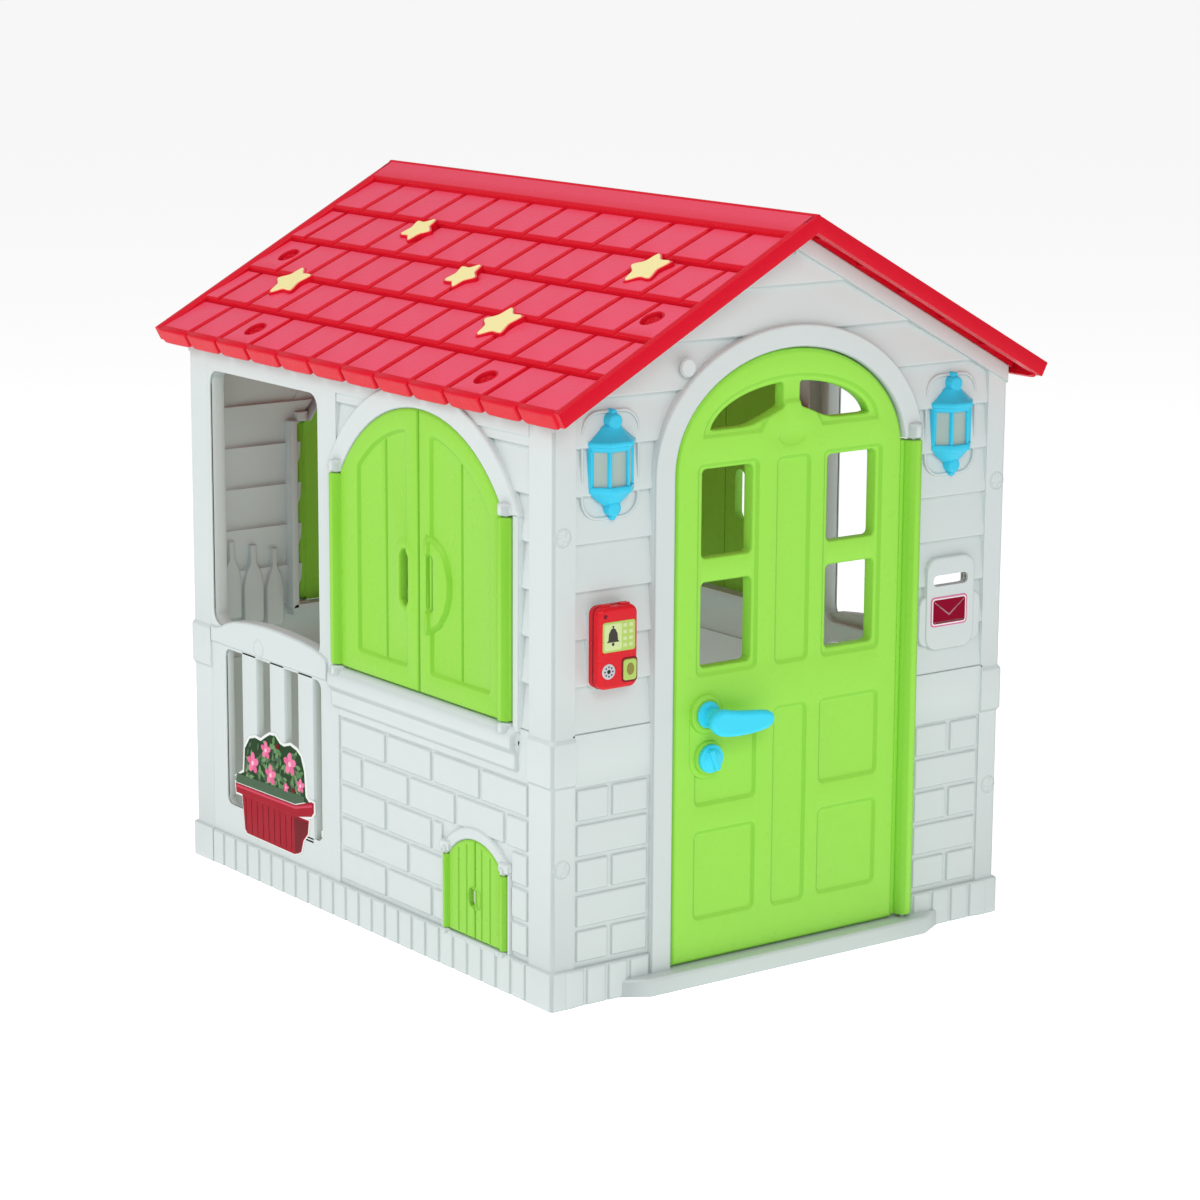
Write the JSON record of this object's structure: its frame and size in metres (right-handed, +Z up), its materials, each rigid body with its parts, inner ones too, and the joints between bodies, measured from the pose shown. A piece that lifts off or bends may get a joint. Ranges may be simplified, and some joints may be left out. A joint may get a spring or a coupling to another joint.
{
  "type": "plastic playhouse",
  "caption": "Moulded plastic garden playhouse with a pitched tiled roof, arched front door, open side windows with railings, arched shutters, pet doors, lanterns, letter slot and door bell.",
  "frame": {"origin": "centre of the footprint of the whole house, on the ground", "axes": "+Z up, the front with its door faces -Y, +X to the right when facing the front"},
  "size_m": [0.96, 1.176, 1.1833],
  "materials": {
    "white_plastic": "satin moulded",
    "red_plastic": "satin moulded",
    "star_plastic": "matt",
    "cyan_plastic": "gloss",
    "green_plastic": "satin moulded",
    "lantern_pane": "matt",
    "mail_print": "printed",
    "planter_print": "printed",
    "pin_steel": "drawn",
    "bell_red": "gloss",
    "bell_lime": "printed",
    "bell_grey": "matt",
    "bell_black": "matt",
    "board_green": "matt"
  },
  "bodies": {
    "house": {"front_wall": "white_plastic", "back_wall": "white_plastic", "left_wall": "white_plastic", "right_wall": "white_plastic", "roof_left": "red_plastic", "roof_right": "red_plastic", "wall_screws": "white_plastic", "roof_screws": "red_plastic", "stars_left": "star_plastic", "stars_right": "star_plastic", "lantern_left": "cyan_plastic", "lantern_right": "cyan_plastic", "lantern_panes": "lantern_pane", "mail_label": "mail_print", "planter_left": "planter_print", "planter_right": "planter_print", "door_pins": "pin_steel", "left_window_pins": "pin_steel", "right_window_pins": "pin_steel", "back_window_pins": "pin_steel", "left_pet_pins": "pin_steel", "right_pet_pins": "pin_steel", "bell_case": "bell_red", "bell_back": "bell_red", "bell_switch": "bell_grey", "bell_grille": "bell_grey", "bell_speaker": "bell_black", "bell_label": "bell_lime", "bell_board": "board_green", "bell_batteries": "pin_steel", "bell_battery_cover": "bell_red", "bell_screws": "pin_steel"},
    "door": {"door_leaf": "green_plastic"},
    "handle": {"handle_outer": "cyan_plastic", "handle_inner": "cyan_plastic"},
    "lock": {"lock_knob": "cyan_plastic", "lock_catch": "green_plastic"},
    "left_shutter_rear": {"left_shutter_rear": "green_plastic"},
    "left_shutter_front": {"left_shutter_front": "green_plastic"},
    "right_shutter_front": {"right_shutter_front": "green_plastic"},
    "right_shutter_rear": {"right_shutter_rear": "green_plastic"},
    "back_shutter_left": {"back_shutter_left": "green_plastic"},
    "back_shutter_right": {"back_shutter_right": "green_plastic"},
    "left_pet_leaf_rear": {"left_pet_leaf_rear": "green_plastic"},
    "left_pet_leaf_front": {"left_pet_leaf_front": "green_plastic"},
    "right_pet_leaf_front": {"right_pet_leaf_front": "green_plastic"},
    "right_pet_leaf_rear": {"right_pet_leaf_rear": "green_plastic"},
    "button": {"bell_button": "bell_lime"}
  },
  "joints": [
    {"name": "door_hinge", "type": "hinge", "parent": "house", "child": "door", "pos_m": [0.247, -0.534, 0.43], "axis": [0, 0, 1], "range_deg": [0, 110]},
    {"name": "handle_turn", "type": "hinge", "parent": "door", "child": "handle", "pos_m": [-0.165, -0.535, 0.425], "axis": [0, 1, 0], "range_deg": [0, 35]},
    {"name": "lock_turn", "type": "hinge", "parent": "door", "child": "lock", "pos_m": [-0.16, -0.535, 0.355], "axis": [0, 1, 0], "range_deg": [0, 90]},
    {"name": "left_shutter_rear_hinge", "type": "hinge", "parent": "house", "child": "left_shutter_rear", "pos_m": [-0.454, 0.055, 0.59], "axis": [0, 0, -1], "range_deg": [0, 150]},
    {"name": "left_shutter_front_hinge", "type": "hinge", "parent": "house", "child": "left_shutter_front", "pos_m": [-0.454, -0.417, 0.59], "axis": [0, 0, 1], "range_deg": [0, 150]},
    {"name": "right_shutter_front_hinge", "type": "hinge", "parent": "house", "child": "right_shutter_front", "pos_m": [0.454, -0.055, 0.59], "axis": [0, 0, -1], "range_deg": [0, 150]},
    {"name": "right_shutter_rear_hinge", "type": "hinge", "parent": "house", "child": "right_shutter_rear", "pos_m": [0.454, 0.417, 0.59], "axis": [0, 0, 1], "range_deg": [0, 150]},
    {"name": "back_shutter_left_hinge", "type": "hinge", "parent": "house", "child": "back_shutter_left", "pos_m": [0.236, 0.535, 0.59], "axis": [0, 0, -1], "range_deg": [0, 150]},
    {"name": "back_shutter_right_hinge", "type": "hinge", "parent": "house", "child": "back_shutter_right", "pos_m": [-0.236, 0.535, 0.59], "axis": [0, 0, 1], "range_deg": [0, 150]},
    {"name": "left_pet_leaf_rear_hinge", "type": "hinge", "parent": "house", "child": "left_pet_leaf_rear", "pos_m": [-0.452, -0.252, 0.125], "axis": [0, 0, -1], "range_deg": [0, 120]},
    {"name": "left_pet_leaf_front_hinge", "type": "hinge", "parent": "house", "child": "left_pet_leaf_front", "pos_m": [-0.452, -0.408, 0.125], "axis": [0, 0, 1], "range_deg": [0, 120]},
    {"name": "right_pet_leaf_front_hinge", "type": "hinge", "parent": "house", "child": "right_pet_leaf_front", "pos_m": [0.452, 0.252, 0.125], "axis": [0, 0, -1], "range_deg": [0, 120]},
    {"name": "right_pet_leaf_rear_hinge", "type": "hinge", "parent": "house", "child": "right_pet_leaf_rear", "pos_m": [0.452, 0.408, 0.125], "axis": [0, 0, 1], "range_deg": [0, 120]},
    {"name": "button_press", "type": "slide", "parent": "house", "child": "button", "axis": [0, 1, 0], "range_m": [0, 0.002], "stiffness_N_per_m": 300}
  ]
}
